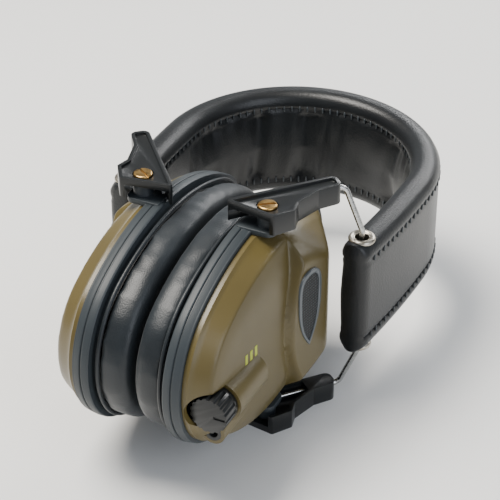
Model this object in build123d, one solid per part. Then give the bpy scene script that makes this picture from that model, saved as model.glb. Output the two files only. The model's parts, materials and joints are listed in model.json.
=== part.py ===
from build123d import *
import math
import os

# Folding electronic earmuffs: a padded sprung headband carries two ear cups. On each side a wire bail turns
# in the end of the headband, two arms slide along the legs of the bail, and the cup turns on two screws in them.
# The set lies on its back edge with the two ear cushions face to face.
# Frame while modelling: X points out of the left ear, Y points up the wearer's head, Z points to the front.
# Every piece of the left side is drawn at +X, and the right side is its mirror image.

# ---- driving dimensions, mm ----
# ear cup outline, measured on the black base plate
cup_length = 110.0
cup_width = 72.0
cup_end_blunt = 6.5            # the end's radius is this much less than half the width
cup_drop = 1.5                 # cup centre below the pivot screws
# stack of the ear cup, measured out from the plane where the cushions meet
cushion_gap = 0.3
cushion_thickness = 11.5
cushion_round = 4.6
cushion_inset = 1.5            # cushion edge inside the base plate's edge
ear_opening_length = 62.0
ear_opening_width = 39.0
opening_end_blunt = 2.0
frame_thickness = 1.7
frame_inset = 4.5
plate_depth = 6.0
plate_wall = 2.6
web_thickness = 2.0
# shell of the ear cup
shell_inset = 1.4              # shell edge inside the base plate's edge
shell_wall = 2.2
shell_lip = 1.6
lip_width = 1.75
rim_height = 3.2               # straight rim of the shell beside the base plate
rim_draft = 0.4
ridge_height = 11.0            # from the base plate to the shell's ridge
ridge_end_inset = 15.0
ridge_side_inset = 8.5
ridge_shift = 3.7              # ridge and crown lie further up than the outline
crown_height = 15.5            # from the base plate to the shell's crown
crown_end_inset = 34.5
crown_side_inset = 19.0
crown_end_blunt = 3.5
# raised pod on the shell, which carries the microphone
pod_height = 17.5              # from the base plate to the middle of the pod's face
pod_tilt = 8.0
pod_face_up = 5.0
pod_reach = 24.0
pod_width = 46.0
pod_round = 9.0
pod_foot_low = -15.0
pod_foot_high = 42.0
pod_foot_round = 17.0
mic_length = 30.0
mic_width = 13.5
mic_forward = 5.0
mic_bezel_width = 1.6
mic_sink = 1.1
mic_gap = 0.15
# arms and pivots
pivot_stand = 3.5              # pivot screw's axis past the base plate's outer face
arm_height = 7.3
arm_plate = 1.6
arm_rim = 0.9
arm_gap = 1.2                  # underside of the arm clear of the cup
arm_wire_offset = 5.6          # wire line from the pivot screw
arm_wall = 2.2                 # wire line from the arm's straight edge
arm_tip_gap = 3.0              # end of the arm to the bend of the wire
boss_radius = 3.4
screw_head_radius = 3.3
screw_head_gap = 0.5
screw_shoulder_radius = 1.8
screw_thread_radius = 1.45
thread_length = 1.5
running_clearance = 0.06
# bail wire
wire_radius = 1.0
wire_engagement = 8.0          # wire past the pivot screw
wire_fillet = 3.0
bail_reach = 6.5               # bend of the wire in from the bail's hinge
bail_drop = 0.6
bail_stand = 2.6               # bend of the wire off the headband's edge
# headband
band_width = 44.0
band_thickness = 10.4
band_round = 4.4
band_clearance = 1.5           # headband's inner face outside the pod's highest edge
band_bulge = 2.5               # widest half-width of the headband, past the hinge's
band_centre_up = 72.0
band_end_up = 22.0
hinge_up = 27.5
sleeve_wall = 1.2
spring_width = 16.0
spring_thickness = 0.9
spring_eye_wall = 1.0
foam_gap = 0.15
grommet_radius = 3.7
grommet_bead = 1.0
grommet_wall = 0.5
grommet_barrel = 3.0
bush_height = 7.6
bush_gap = 0.35
# inside of the ear cup
speaker_radius = 13.0
speaker_up = 9.0
speaker_flange = 1.5
speaker_depth = 4.6
speaker_plate_inset = 9.0
speaker_plate_stand = 3.2      # speaker plate off the base plate's inner face
speaker_plate_thickness = 1.6
plate_screw_radius = 1.2
plate_screw_head = 2.3
plate_screw_side = 10.0
foam_disc_thickness = 4.0
board_stand = 8.2              # circuit board off the speaker plate
board_thickness = 1.6
# controls on the left cup
knob_radius = 6.5
knob_length = 8.2
knob_stand = 8.1               # knob's axis past the base plate's outer face
knob_forward = -4.0
knob_seat_margin = 12.5        # knob's seat above the lower end of the cup
knob_ribs = 16
knob_gap = 0.3
shaft_radius = 1.5
jack_radius = 1.8
jack_depth = 14.0
jack_wall = 1.25
jack_stand = 6.5
jack_forward = -15.5
jack_mouth_margin = 10.0
# battery compartment in the right cup
cell_radius = 10.0
cell_thickness = 3.2
cell_up = -24.0
cell_gap = 0.25
tray_wall = 1.0
contact_thickness = 0.3
door_margin = 1.5              # door's edge past the cells
door_half_width = 12.5
door_gap = 0.3
knuckle_radius = 1.6
knuckle_length = 10.0
pin_radius = 0.8

# ---- worked out from them ----
door_low = cell_up - cell_radius - door_margin
door_high = cell_up + cell_radius + door_margin
half_length, half_width = cup_length / 2, cup_width / 2
cup_end_radius = half_width - cup_end_blunt
cushion_out = cushion_gap + cushion_thickness
plate_in = cushion_out + frame_thickness
plate_out = plate_in + plate_depth
cup_low = -half_length - cup_drop                # lower end of the cup
pivot_out = plate_out + pivot_stand
knob_out, jack_out = plate_out + knob_stand, plate_out + jack_stand
knob_seat, jack_mouth = cup_low + knob_seat_margin, cup_low + jack_mouth_margin
ridge_out = plate_out + ridge_height
crown_out = plate_out + crown_height
speaker_plate_in = plate_in + speaker_plate_stand
speaker_plate_out = speaker_plate_in + speaker_plate_thickness
arm_low = half_width + arm_gap                   # underside of the arms, from the middle plane
arm_top = arm_low + arm_height
ceiling = arm_top - arm_rim - arm_plate          # roof of the arm's hollow
wire_level = ceiling - wire_radius - 0.3
pivot = Vector(pivot_out, 0, 0)
pod_edge_out = plate_out + pod_height + pod_reach / 2 * math.sin(math.radians(pod_tilt))
hinge = Vector(pod_edge_out + band_clearance + band_thickness / 2, hinge_up, 0)
band_radius = hinge.X + band_bulge
side_drop = band_centre_up - hinge_up
band_side_radius = (side_drop**2 + band_bulge**2) / (2 * band_bulge)
crown_up = band_centre_up + band_radius + band_thickness / 2
bend = Vector(hinge.X - bail_reach, hinge.Y - bail_drop, 0)
wire_bend = math.sqrt((bend - pivot).length ** 2 - arm_wire_offset**2)
arm_lean = math.asin(arm_wire_offset / (bend - pivot).length)
arm_angle = math.atan2(bend.Y, bend.X - pivot.X) - arm_lean
along = Vector(math.cos(arm_angle), math.sin(arm_angle), 0)
inward = Vector(-along.Y, along.X, 0)            # square to the wire, towards the cushions
wire_foot = pivot + inward * arm_wire_offset     # point of the wire line beside the pivot screw
arm_tip = wire_bend - arm_tip_gap
jack_collar_radius = jack_radius + jack_wall
plate_screw_bore = plate_screw_radius + running_clearance


def band_x(up):
    """Distance of the headband's middle line from the centre plane, at a height on its side."""
    return band_radius - band_side_radius + math.sqrt(band_side_radius**2 - (band_centre_up - up) ** 2)


# ---- helpers ----
def out_plane(out, up=0.0):
    """Plane square to the cup's axis: its x runs up the ear and its y to the front."""
    return Plane(origin=(out, up, 0), x_dir=(0, 1, 0), z_dir=(1, 0, 0))


def oval(half_long, half_wide, end_radius):
    """Face bounded by four tangent arcs, with its long axis on x."""
    reach = half_long - end_radius
    side_radius = (reach**2 + half_wide**2 - end_radius**2) / (2 * (half_wide - end_radius))
    turn = math.atan2(reach, side_radius - half_wide)
    tx = side_radius * math.sin(turn)
    ty = side_radius * math.cos(turn) - (side_radius - half_wide)
    arcs = [
        ThreePointArc((-tx, ty), (0, half_wide), (tx, ty)),
        ThreePointArc((tx, ty), (half_long, 0), (tx, -ty)),
        ThreePointArc((tx, -ty), (0, -half_wide), (-tx, -ty)),
        ThreePointArc((-tx, -ty), (-half_long, 0), (-tx, ty)),
    ]
    return make_face(arcs)


def cup_oval(inset):
    """Outline of the cup drawn in by inset, centred on the cup."""
    return Pos(-cup_drop, 0) * oval(half_length - inset, half_width - inset, cup_end_radius - inset)


def opening_oval(grow):
    half_wide = ear_opening_width / 2
    return Pos(-cup_drop, 0) * oval(
        ear_opening_length / 2 + grow, half_wide + grow, half_wide - opening_end_blunt + grow
    )


def plate(face, low, high):
    """Slab of a face between two distances out from the centre plane."""
    return extrude(out_plane(low) * face, amount=high - low, dir=(1, 0, 0))


def rod(centre, axis, radius, length):
    """Cylinder that starts at centre and runs along axis."""
    disc = Plane(origin=centre, z_dir=axis) * Circle(radius)
    return extrude(disc, amount=length, dir=axis)


# ---- headband ----
def band_path(start_up):
    """Middle line of the headband, from the left side at start_up over the head to the right side."""
    left_low = (band_x(start_up), start_up)
    left_mid = (band_x((start_up + band_centre_up) / 2), (start_up + band_centre_up) / 2)
    left_top = (band_radius, band_centre_up)
    crown = (0, band_centre_up + band_radius)
    flip = lambda p: (-p[0], p[1])
    return Wire(
        [
            ThreePointArc(left_low, left_mid, left_top),
            ThreePointArc(left_top, crown, flip(left_top)),
            ThreePointArc(flip(left_top), flip(left_mid), flip(left_low)),
        ]
    )


def band_sweep(start_up, wide, thick, corner):
    path = band_path(start_up)
    section = Plane(origin=path @ 0, x_dir=(0, 0, 1), z_dir=path % 0)
    outline = RectangleRounded(wide, thick, corner) if corner else Rectangle(wide, thick)
    return sweep(section * outline, path=path)


def left_half(shape):
    """The part of a headband piece on the left of the crown."""
    size = 4 * band_radius
    return shape & (Pos(size / 2, 0, 0) * Box(size, 2 * size, size))


def eyelet(end):
    """Place on the headband's front edge (end 1) or back edge (end -1) where the bail goes in."""
    return Pos(hinge.X, hinge.Y, end * (band_width / 2 - 0.4))


def make_grommets():
    rings = []
    for end in (1, -1):
        outer = grommet_radius - 0.7
        barrel = Cylinder(outer, grommet_barrel) - Cylinder(outer - grommet_wall, grommet_barrel)
        bead = Torus(grommet_radius, grommet_bead) - Cylinder(outer - grommet_wall, grommet_barrel)
        rings.append(eyelet(end) * (bead + Pos(0, 0, -end * grommet_barrel / 3) * barrel))
    return Compound(rings)


def make_sleeve():
    sleeve = band_sweep(band_end_up, band_width, band_thickness, band_round)
    sleeve -= band_sweep(
        band_end_up + sleeve_wall, band_width - 2 * sleeve_wall, band_thickness - 2 * sleeve_wall,
        band_round - sleeve_wall,
    )
    for end in (1, -1):
        sleeve -= eyelet(end) * Cylinder(grommet_radius - 0.7 + running_clearance, 2 * grommet_barrel)
        sleeve -= eyelet(end) * Torus(grommet_radius, grommet_bead + 0.05)
    return left_half(sleeve)


def make_spring():
    """Flat spring with an eye rolled round the bail wire."""
    bore = wire_radius + running_clearance
    eye_outer = bore + spring_eye_wall
    strip = band_sweep(hinge_up + eye_outer - 0.4, spring_width, spring_thickness, 0)
    eye = Pos(hinge.X, hinge.Y, 0) * (Cylinder(eye_outer, spring_width) - Cylinder(bore, spring_width))
    strip -= Pos(hinge.X, hinge.Y, 0) * Cylinder(bore, spring_width)
    return left_half(strip + eye)


def make_bushes():
    """Two plastic bushes in the end of the headband, where the bail wire turns."""
    low = spring_width / 2 + bush_gap
    high = band_width / 2 - band_round
    block = RectangleRounded(band_thickness - 2 * sleeve_wall - 2 * bush_gap, bush_height, 1.5)
    block -= Circle(wire_radius + running_clearance)
    front = Pos(hinge.X, hinge.Y, low) * extrude(block, amount=high - low)
    return Compound([front, mirror(front, about=Plane.XY)])


def make_band_foam():
    start = hinge_up + bush_height / 2 + 1.0
    foam = band_sweep(
        start, band_width - 2 * sleeve_wall - 2 * foam_gap, band_thickness - 2 * sleeve_wall - 2 * foam_gap,
        band_round - sleeve_wall - foam_gap,
    )
    foam -= band_sweep(start - 0.5, spring_width + 4 * foam_gap, spring_thickness + 2 * foam_gap, 0)
    return left_half(foam)


# ---- bail and arms ----
def make_bail():
    """One wire: along each arm, out to the headband, and through its end from front to back."""
    tip = wire_foot - along * wire_engagement
    half = [
        Vector(tip.X, tip.Y, wire_level),
        Vector(bend.X, bend.Y, wire_level),
        Vector(hinge.X, hinge.Y, band_width / 2 + bail_stand),
    ]
    back = [Vector(p.X, p.Y, -p.Z) for p in reversed(half)]
    path = FilletPolyline(*half, *back, radius=wire_fillet)
    return sweep(Plane(origin=path @ 0, z_dir=path % 0) * Circle(wire_radius), path=path)


def arm_frame(level):
    """Plane on the arm: x runs along the wire towards the headband, y towards the cushions."""
    return Plane(origin=(wire_foot.X, wire_foot.Y, level), x_dir=along, z_dir=(0, 0, 1))


def arm_outline(inset=0.0):
    """Plan of the arm: a straight side along the wire, a broad foot round the screw and a slim tip."""
    screw = -arm_wire_offset
    foot = [(-12.0, arm_wall), (-12.0 + 10.5, screw - 8.4), (6.6, screw - 7.4), (9.5, screw - 3.4)]
    tip = [(arm_tip - 9.0, -4.8), (arm_tip, -4.2), (arm_tip, arm_wall)]
    face = make_face(Polyline(*foot, *tip, close=True))
    face = fillet(face.vertices().sort_by(Axis.X)[-2:], 2.4)
    face = fillet(face.vertices().filter_by(lambda v: v.X < arm_tip - 6), 1.1)
    return offset(face, -inset) if inset else face


def make_arm():
    """Front arm: rimmed top, hollow foot open at its end, and a bore for the wire."""
    arm = extrude(arm_frame(arm_low) * arm_outline(), amount=arm_height)
    arm -= extrude(arm_frame(arm_top - arm_rim) * arm_outline(1.3), amount=arm_rim + 1)
    hollow = arm_outline(1.3) & (Pos(arm_tip - 11 - 30, 0) * Rectangle(60, 60))
    mouth = make_face(Polyline((-20, 0.9), (-6, 0.9), (3, -12.6), (-20, -12.6), close=True))
    arm -= extrude(arm_frame(arm_low - 1) * (hollow + mouth), amount=ceiling - arm_low + 1)
    bore_start = wire_foot - along * 2 * wire_engagement
    arm -= rod((bore_start.X, bore_start.Y, wire_level), along, wire_radius + running_clearance, 2 * wire_bend)
    seat = Pos(pivot.X, pivot.Y, arm_top)
    arm -= seat * Cylinder(screw_head_radius + screw_head_gap, 2 * (arm_rim + 0.6))
    return arm - seat * Cylinder(screw_shoulder_radius + running_clearance, 2 * arm_height)


def make_pivot_screws():
    """Slotted shoulder screws, front and back: each head lies in the arm's recess."""
    head_low = arm_top - arm_rim - 0.5
    head_top = arm_top - 0.15
    boss_top = ceiling - 0.2
    head = extrude(Plane.XY.offset(head_low) * Circle(screw_head_radius), amount=head_top - head_low)
    head = fillet(head.edges().sort_by(Axis.Z)[-1], 0.7)
    head -= Pos(0, 0, head_top) * Rotation(0, 0, 35) * Box(2 * screw_head_radius + 1, 0.9, 1.1)
    shoulder = extrude(Plane.XY.offset(boss_top) * Circle(screw_shoulder_radius), amount=head_low - boss_top)
    thread_low = half_width - thread_length
    thread = extrude(Plane.XY.offset(thread_low) * Circle(screw_thread_radius), amount=boss_top - thread_low)
    screw = Pos(pivot.X, pivot.Y, 0) * (head + shoulder + thread)
    return Compound([screw, mirror(screw, about=Plane.XY)])


# ---- ear cup ----
def make_cushion():
    solid = plate(cup_oval(cushion_inset) - opening_oval(0), cushion_gap, cushion_out)
    return fillet(solid.faces().sort_by(Axis.X)[0].edges(), cushion_round)


def make_cushion_frame():
    return plate(cup_oval(frame_inset) - opening_oval(1.2), cushion_out, plate_in)


def screw_places():
    """Four screws that hold the speaker plate: up the ear and to the front."""
    up = half_length - speaker_plate_inset - 8.5
    return [(side_up * up - cup_drop, side * plate_screw_side) for side_up in (1, -1) for side in (1, -1)]


def make_base_plate():
    """Ring that carries cushion, shell and speaker plate, with a pivot boss front and back."""
    web_out = plate_in + web_thickness
    body = plate(cup_oval(0), plate_in, plate_out)
    body -= plate(cup_oval(plate_wall), web_out, plate_out)
    body -= plate(opening_oval(2.0), plate_in - 1, plate_out)
    for up, side in screw_places():
        body += rod((web_out, up, side), (1, 0, 0), plate_screw_head, speaker_plate_in - web_out)
        body -= rod((web_out - 1.0, up, side), (1, 0, 0), plate_screw_bore, plate_depth)
    tab_in = plate_in + 1.0
    tab_out = pivot_out + boss_radius + 1.0
    tab = Pos((tab_in + tab_out) / 2, 0, half_width - 0.2) * Box(tab_out - tab_in, 11.0, 2.0)
    tab = fillet(tab.edges().filter_by(Axis.Z).sort_by(Axis.X)[-2:], 3.0)
    ear = tab + rod((pivot.X, 0, half_width), (0, 0, 1), boss_radius, ceiling - 0.2 - half_width)
    ear -= rod((pivot.X, 0, half_width - thread_length), (0, 0, 1), screw_thread_radius, 2 * arm_height)
    return body + ear + mirror(ear, about=Plane.XY)


def dome(wall):
    """Outer form of the shell, or its cavity when wall is its thickness."""
    ridge_half = half_width - ridge_side_inset - wall
    crown_half = half_width - crown_side_inset - wall
    ridge = oval(half_length - ridge_end_inset - wall, ridge_half, ridge_half - cup_end_blunt)
    crown = oval(half_length - crown_end_inset - wall, crown_half, crown_half - crown_end_blunt)
    shift = Pos(ridge_shift, 0)
    faces = [
        out_plane(plate_out) * cup_oval(shell_inset + wall),
        out_plane(plate_out + rim_height) * cup_oval(shell_inset + wall + rim_draft),
        out_plane(ridge_out - 0.5 * wall) * (shift * ridge),
        out_plane(crown_out - wall) * (shift * crown),
    ]
    return loft(faces, ruled=True)


def pod_plane(sink=0.0):
    """Plane of the pod's face: its x runs up the ear and its y to the front."""
    tilt = math.radians(pod_tilt)
    normal = Vector(math.cos(tilt), -math.sin(tilt), 0)
    origin = Vector(plate_out + pod_height, pod_face_up, 0) - normal * sink
    return Plane(origin=origin, x_dir=(math.sin(tilt), math.cos(tilt), 0), z_dir=normal)


def pod(wall):
    """Raised upper half of the shell, which carries the microphone."""
    foot_reach = pod_foot_high - pod_foot_low - 2 * wall
    foot_wide = cup_width - 2 * (shell_inset + rim_draft + wall)
    foot = RectangleRounded(foot_reach, foot_wide, pod_foot_round - wall)
    foot = Pos((pod_foot_low + pod_foot_high) / 2, 0) * foot
    top = RectangleRounded(pod_reach - 2 * wall, pod_width - 2 * wall, pod_round - wall)
    return loft([out_plane(plate_out + rim_height) * foot, pod_plane(wall) * top], ruled=True)


def mic_outline(grow):
    """Drop-shaped window, round at the front and pointed at the back."""
    half, wide = mic_length / 2 + grow, mic_width / 2 + grow
    front = Spline((0, half), (wide, half * 0.35), (0, -half), tangents=[(1, 0), (-0.75, -1)])
    back = Spline((0, -half), (-wide, half * 0.35), (0, half), tangents=[(-0.75, 1), (1, 0)])
    return make_face([front, back])


def mic_slab(grow, low, high):
    """Slab of the window's outline between two heights over the pod's face."""
    plane = pod_plane(-low)
    return extrude(plane * Pos(-1.0, mic_forward) * mic_outline(grow), amount=high - low, dir=plane.z_dir)


def knob_rod(radius, low, high):
    return rod((knob_out, high, knob_forward), (0, -1, 0), radius, high - low)


def jack_rod(radius, low, high):
    return rod((jack_out, high, jack_forward), (0, -1, 0), radius, high - low)


def lip():
    """Edge of the shell that drops inside the base plate's wall."""
    inner = cup_oval(plate_wall + mic_gap + lip_width)
    spigot = plate(cup_oval(plate_wall + mic_gap) - inner, plate_out - shell_lip, plate_out)
    return spigot + plate(cup_oval(shell_inset + 0.2) - inner, plate_out, plate_out + shell_lip)


def make_plain_shell():
    """The shell before its side's own openings, and its cavity."""
    cavity = dome(shell_wall) + pod(shell_wall)
    return dome(0) + pod(0), cavity


def open_microphone(shell):
    shell -= mic_slab(mic_gap, -mic_sink, 2.0)
    return shell - mic_slab(-mic_bezel_width - 0.4, -3 * shell_wall, 2.0)


def make_left_shell():
    """Shell with the seats of the volume knob and the input socket at its lower end."""
    low = cup_low - 10
    deep = pod_foot_low - 10
    seat_radius = knob_radius + 1.0
    outer, cavity = make_plain_shell()
    outer += knob_rod(seat_radius, knob_seat, deep)
    outer += jack_rod(jack_collar_radius + jack_wall, jack_mouth, deep)
    outer -= knob_rod(seat_radius, low, knob_seat)
    cavity -= knob_rod(seat_radius + shell_wall, low, knob_seat + shell_wall)
    cavity += knob_rod(knob_radius - 1.4, knob_seat + shell_wall, deep)
    shell = outer - cavity - jack_rod(jack_collar_radius, low, jack_mouth + jack_depth + 1)
    shell -= knob_rod(2 * shaft_radius, low, knob_seat + shell_wall + 1)
    return open_microphone(shell + lip() - knob_rod(seat_radius, low, knob_seat))


def make_mic_bezel():
    return mic_slab(0, -mic_sink, 0.5) - mic_slab(-mic_bezel_width, -2 * mic_sink, 1.0)


def make_mic_mesh():
    return mic_slab(-mic_bezel_width - 0.1, -0.8 * mic_sink, 0.1)


def make_microphone():
    plane = pod_plane(3 * shell_wall)
    return rod(plane.origin + Vector(0, 0, mic_forward + 3), plane.z_dir, 3.0, 2 * shell_wall)


def make_foam_disc():
    return plate(opening_oval(1.0), cushion_out + 0.2, cushion_out + 0.2 + foam_disc_thickness)


def speaker_plate_outline():
    return cup_oval(speaker_plate_inset)


def make_speaker_plate():
    face = speaker_plate_outline() - Pos(speaker_up, 0) * Circle(speaker_radius + 0.1)
    for up in (-24.0, -17.0):
        face -= Pos(up, 0) * SlotOverall(20, 2.5, rotation=90)
    for up, side in screw_places():
        face -= Pos(up, side) * Circle(plate_screw_bore)
    return plate(face, speaker_plate_in, speaker_plate_out)


def make_plate_screws():
    screws = []
    for up, side in screw_places():
        shank = rod((plate_in + web_thickness, up, side), (1, 0, 0), plate_screw_radius, speaker_plate_stand)
        head = rod((speaker_plate_out, up, side), (1, 0, 0), plate_screw_head, 1.4)
        screws.append(shank + head)
    return Compound(screws)


def make_speaker():
    low = speaker_plate_in - 0.4
    body = rod((low, speaker_up, 0), (1, 0, 0), speaker_radius, speaker_depth)
    flange = rod((speaker_plate_out, speaker_up, 0), (1, 0, 0), speaker_radius + speaker_flange, 1.0)
    magnet = rod((low + speaker_depth, speaker_up, 0), (1, 0, 0), speaker_radius * 0.55, 1.6)
    return body + flange + magnet


def make_board():
    """Circuit board with its chip and capacitor, in the pod."""
    low = speaker_plate_out + board_stand - board_thickness
    board = plate(Pos(10.0, 0) * RectangleRounded(26.0, 34.0, 2.0), low, low + board_thickness)
    for up, side in ((0.5, -15.0), (19.5, 15.0)):
        board += rod((speaker_plate_out + 1.2, up, side), (1, 0, 0), 2.0, low - speaker_plate_out - 1.2)
    chip = Pos(low + board_thickness + 0.6, 14.0, -6.0) * Box(1.4, 9.0, 9.0)
    can = rod((low + board_thickness - 0.1, 4.0, -9.0), (1, 0, 0), 2.2, 2.6)
    return board + chip + can


def make_acoustic_foam():
    """Foam over the upper end of the speaker plate."""
    low = speaker_plate_out + 0.2
    return plate(Pos(28.7, 0) * RectangleRounded(7.5, 34.0, 3.0), low, low + 4.0)


# ---- left cup: volume control and input socket ----
def make_knob():
    """Ribbed knob with a pointer groove and a bore for the shaft."""
    top = knob_seat - knob_gap
    end = top - knob_length
    knob = knob_rod(knob_radius, end, top)
    for n in range(knob_ribs):
        turn = 2 * math.pi * n / knob_ribs
        x = knob_out + (knob_radius + 0.35) * math.cos(turn)
        z = knob_forward + (knob_radius + 0.35) * math.sin(turn)
        knob -= rod((x, top - 1.5, z), (0, -1, 0), 0.8, knob_length)
    knob -= Pos(knob_out + knob_radius * 0.6, end, knob_forward) * Box(4.0, 1.0, 1.2)
    return knob - knob_rod(shaft_radius, end + 1.9, top)


def make_volume_control():
    """Turning control behind the shell, with its neck in the shell and its shaft in the knob."""
    back = knob_seat + shell_wall
    can = rod((knob_out, back, knob_forward), (0, 1, 0), knob_radius - 1.9, 6.5)
    neck = knob_rod(2 * shaft_radius, knob_seat + 0.1, back)
    return can + neck + knob_rod(shaft_radius - running_clearance, knob_seat - knob_gap - 5.5, back)


def make_jack():
    socket = jack_rod(jack_collar_radius, jack_mouth, jack_mouth + jack_depth + 1.0)
    return socket - jack_rod(jack_radius, jack_mouth - 1, jack_mouth + jack_depth)


# ---- right cup: battery compartment, drawn at +X like the left cup and mirrored ----
def door_zone(grow):
    """Block that cuts the door out of the shell."""
    height = door_high - door_low + 2 * grow
    return Pos(crown_out, cell_up, 0) * Box(crown_out - plate_out, height, 2 * (door_half_width + grow))


def door_hinge():
    """Point of the door's hinge line: just under the shell's skin at the door's lower edge."""
    ridge_low = ridge_shift - (half_length - ridge_end_inset)
    crown_low = ridge_shift - (half_length - crown_end_inset)
    rise = (door_low - ridge_low) / (crown_low - ridge_low) * (crown_height - ridge_height)
    return Vector(ridge_out + rise + 0.3, door_low, 0)


def knuckle(radius, length, middle=0.0):
    at = door_hinge()
    return Pos(at.X, at.Y, middle) * Cylinder(radius, length)


def side_knuckles(radius):
    middle = (knuckle_length + knuckle_length / 2) / 2 + door_gap
    return knuckle(radius, knuckle_length / 2, middle) + knuckle(radius, knuckle_length / 2, -middle)


def make_battery_door():
    skin = (dome(0) - dome(shell_wall)) & door_zone(0)
    skin = skin - side_knuckles(knuckle_radius + door_gap) + knuckle(knuckle_radius, knuckle_length)
    return skin - knuckle(pin_radius + running_clearance, 2 * knuckle_length)


def make_right_shell():
    outer, cavity = make_plain_shell()
    shell = outer - cavity - door_zone(door_gap)
    shell -= knuckle(knuckle_radius + door_gap, knuckle_length + 2 * door_gap)
    shell = shell + side_knuckles(knuckle_radius) - knuckle(pin_radius, 4 * knuckle_length)
    return open_microphone(shell + lip())


def make_hinge_pin():
    return knuckle(pin_radius, 2 * knuckle_length + 2 * door_gap)


tray_floor = speaker_plate_out + cell_gap
cell_low = tray_floor + tray_wall + contact_thickness
cell_high = cell_low + 2 * cell_thickness


def cell_disc(radius, low, high):
    return rod((low, cell_up, 0), (1, 0, 0), radius, high - low)


def make_cells():
    """Two coin cells, one on the other: each is a can with a smaller cap."""
    cells = []
    for low in (cell_low, cell_low + cell_thickness):
        cap = cell_disc(cell_radius - 1.2, low, low + 0.5)
        cells.append(cap + cell_disc(cell_radius, low + 0.5, low + cell_thickness))
    return Compound(cells)


def make_tray():
    """Round battery tray on the speaker plate, with finger slots at front and back."""
    tray = cell_disc(cell_radius + cell_gap + tray_wall, tray_floor, cell_high - 1.0)
    tray -= cell_disc(cell_radius + cell_gap, tray_floor + tray_wall, cell_high)
    return tray - Pos(cell_high, cell_up, 0) * Box(4 * cell_thickness, 7.0, 4 * cell_radius)


def make_contacts():
    """Disc under the cells and a leaf beside them, both of sprung plate."""
    disc = cell_disc(cell_radius / 2, tray_floor + tray_wall, cell_low)
    leaf_side = cell_radius + cell_gap / 2
    leaf = Pos(cell_low + cell_thickness, cell_up, leaf_side) * Box(cell_thickness, 5.0, 0.2)
    return Compound([disc, leaf])


# ---- assembly ----
def make_pieces():
    """Every node of the model, by name."""
    arm = make_arm()
    pairs = {
        "band_sleeve": make_sleeve(),
        "band_foam": make_band_foam(),
        "band_spring": make_spring(),
        "band_grommets": make_grommets(),
        "band_bushes": make_bushes(),
        "bail_wire": make_bail(),
        "front_arm": arm,
        "rear_arm": mirror(arm, about=Plane.XY),
        "pivot_screws": make_pivot_screws(),
        "ear_cushion": make_cushion(),
        "cushion_frame": make_cushion_frame(),
        "base_plate": make_base_plate(),
        "mic_bezel": make_mic_bezel(),
        "mic_mesh": make_mic_mesh(),
        "microphone": make_microphone(),
        "foam_disc": make_foam_disc(),
        "speaker_plate": make_speaker_plate(),
        "plate_screws": make_plate_screws(),
        "speaker": make_speaker(),
        "acoustic_foam": make_acoustic_foam(),
        "circuit_board": make_board(),
    }
    pieces = {}
    for name, shape in pairs.items():
        pieces["left_" + name] = shape
        pieces["right_" + name] = mirror(shape, about=Plane.YZ)
    pieces["left_cup_shell"] = make_left_shell()
    pieces["volume_knob"] = make_knob()
    pieces["volume_control"] = make_volume_control()
    pieces["input_jack"] = make_jack()
    right_only = {
        "right_cup_shell": make_right_shell(),
        "battery_door": make_battery_door(),
        "door_hinge_pin": make_hinge_pin(),
        "battery_cells": make_cells(),
        "battery_tray": make_tray(),
        "battery_contacts": make_contacts(),
    }
    for name, shape in right_only.items():
        pieces[name] = mirror(shape, about=Plane.YZ)
    return pieces


# the origin goes to the middle of the base
origin_shift = Vector(0, (half_length + cup_drop - crown_up) / 2, arm_top)


def main():
    os.makedirs("parts", exist_ok=True)
    for name, shape in make_pieces().items():
        export_step(Location(origin_shift) * shape, f"parts/{name}.step")


if __name__ == "__main__":
    main()
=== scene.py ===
import bpy, json, math
from math import sin, cos, pi, radians
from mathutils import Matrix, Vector


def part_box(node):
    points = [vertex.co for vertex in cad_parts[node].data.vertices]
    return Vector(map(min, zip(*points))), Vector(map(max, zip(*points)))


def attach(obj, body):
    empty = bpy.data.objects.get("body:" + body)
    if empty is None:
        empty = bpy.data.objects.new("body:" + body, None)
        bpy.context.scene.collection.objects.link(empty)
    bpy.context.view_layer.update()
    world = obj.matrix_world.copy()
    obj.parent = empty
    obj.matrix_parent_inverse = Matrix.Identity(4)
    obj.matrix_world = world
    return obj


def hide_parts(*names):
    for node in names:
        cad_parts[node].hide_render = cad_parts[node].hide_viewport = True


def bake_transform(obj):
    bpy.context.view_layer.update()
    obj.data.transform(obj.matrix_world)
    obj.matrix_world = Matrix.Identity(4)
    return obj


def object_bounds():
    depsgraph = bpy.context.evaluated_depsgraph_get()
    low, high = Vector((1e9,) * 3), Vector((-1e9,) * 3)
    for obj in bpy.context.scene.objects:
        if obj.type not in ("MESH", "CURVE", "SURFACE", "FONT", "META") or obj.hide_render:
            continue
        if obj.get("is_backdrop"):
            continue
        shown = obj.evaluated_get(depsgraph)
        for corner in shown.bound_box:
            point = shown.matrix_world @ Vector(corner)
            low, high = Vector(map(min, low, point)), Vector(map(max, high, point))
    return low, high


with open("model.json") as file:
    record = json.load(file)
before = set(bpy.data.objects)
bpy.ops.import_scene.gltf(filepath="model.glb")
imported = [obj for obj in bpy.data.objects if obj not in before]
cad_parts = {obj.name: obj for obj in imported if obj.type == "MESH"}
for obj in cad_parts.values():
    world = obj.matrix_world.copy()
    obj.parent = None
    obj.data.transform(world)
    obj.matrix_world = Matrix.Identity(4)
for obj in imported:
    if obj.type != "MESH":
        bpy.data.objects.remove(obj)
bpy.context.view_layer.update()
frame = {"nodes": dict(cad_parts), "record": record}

mm = 0.001
sides = ("left", "right")
print("frame loaded")

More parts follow.
